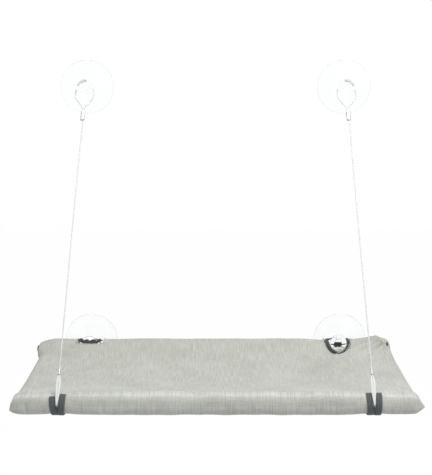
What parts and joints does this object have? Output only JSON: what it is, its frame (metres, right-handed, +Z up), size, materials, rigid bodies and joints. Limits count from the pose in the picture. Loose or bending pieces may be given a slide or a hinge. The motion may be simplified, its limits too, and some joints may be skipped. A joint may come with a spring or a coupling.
{
  "type": "window mounted cat perch",
  "caption": "Padded fabric cat perch on a tube frame, held to a window by suction cups, elastic loops and wire ropes.",
  "frame": {"origin": "on the window pane, in the middle of the four suction cups", "axes": "+X to the right as seen from the room, -Y away from the pane into the room, +Z up"},
  "size_m": [0.5382, 0.3123, 0.4735],
  "materials": {
    "clear_pvc": "gloss",
    "wire_steel": "satin",
    "ferrule_metal": "satin",
    "white_sleeve": "satin",
    "grey_elastic": "matte",
    "linen": "matte",
    "linen_flap": "matte",
    "fastener_tape": "matte",
    "coated_tube": "satin",
    "black_plastic": "matte",
    "pale_foam": "matte"
  },
  "bodies": {
    "wall_set": {"suction_cup_upper_left": "clear_pvc", "suction_cup_upper_right": "clear_pvc", "suction_cup_lower_left": "clear_pvc", "suction_cup_lower_right": "clear_pvc", "wire_rope_left": "wire_steel", "wire_rope_right": "wire_steel", "upper_ferrule_left": "ferrule_metal", "upper_ferrule_right": "ferrule_metal", "rear_band_left": "grey_elastic", "rear_band_right": "grey_elastic"},
    "platform": {"lower_ferrule_left": "ferrule_metal", "lower_ferrule_right": "ferrule_metal", "wire_eye_left": "white_sleeve", "wire_eye_right": "white_sleeve", "front_band_left": "grey_elastic", "front_band_right": "grey_elastic", "front_tube": "coated_tube", "back_tube": "coated_tube", "side_tube_left": "coated_tube", "side_tube_right": "coated_tube", "elbow_front_left": "black_plastic", "elbow_front_right": "black_plastic", "elbow_back_left": "black_plastic", "elbow_back_right": "black_plastic", "front_foam": "pale_foam", "back_foam_middle": "pale_foam", "back_foam_left": "pale_foam", "back_foam_right": "pale_foam", "cover": "linen", "closing_flap": "linen_flap", "hook_strip": "fastener_tape", "loop_strip": "fastener_tape"}
  },
  "joints": [
    {"name": "platform_fold", "type": "hinge", "parent": "wall_set", "child": "platform", "pos_m": [0, -0.0225, -0.2053], "axis": [-1, 0, 0], "range_deg": [0, 80], "deforming": ["wire_rope_left", "wire_rope_right"]}
  ]
}
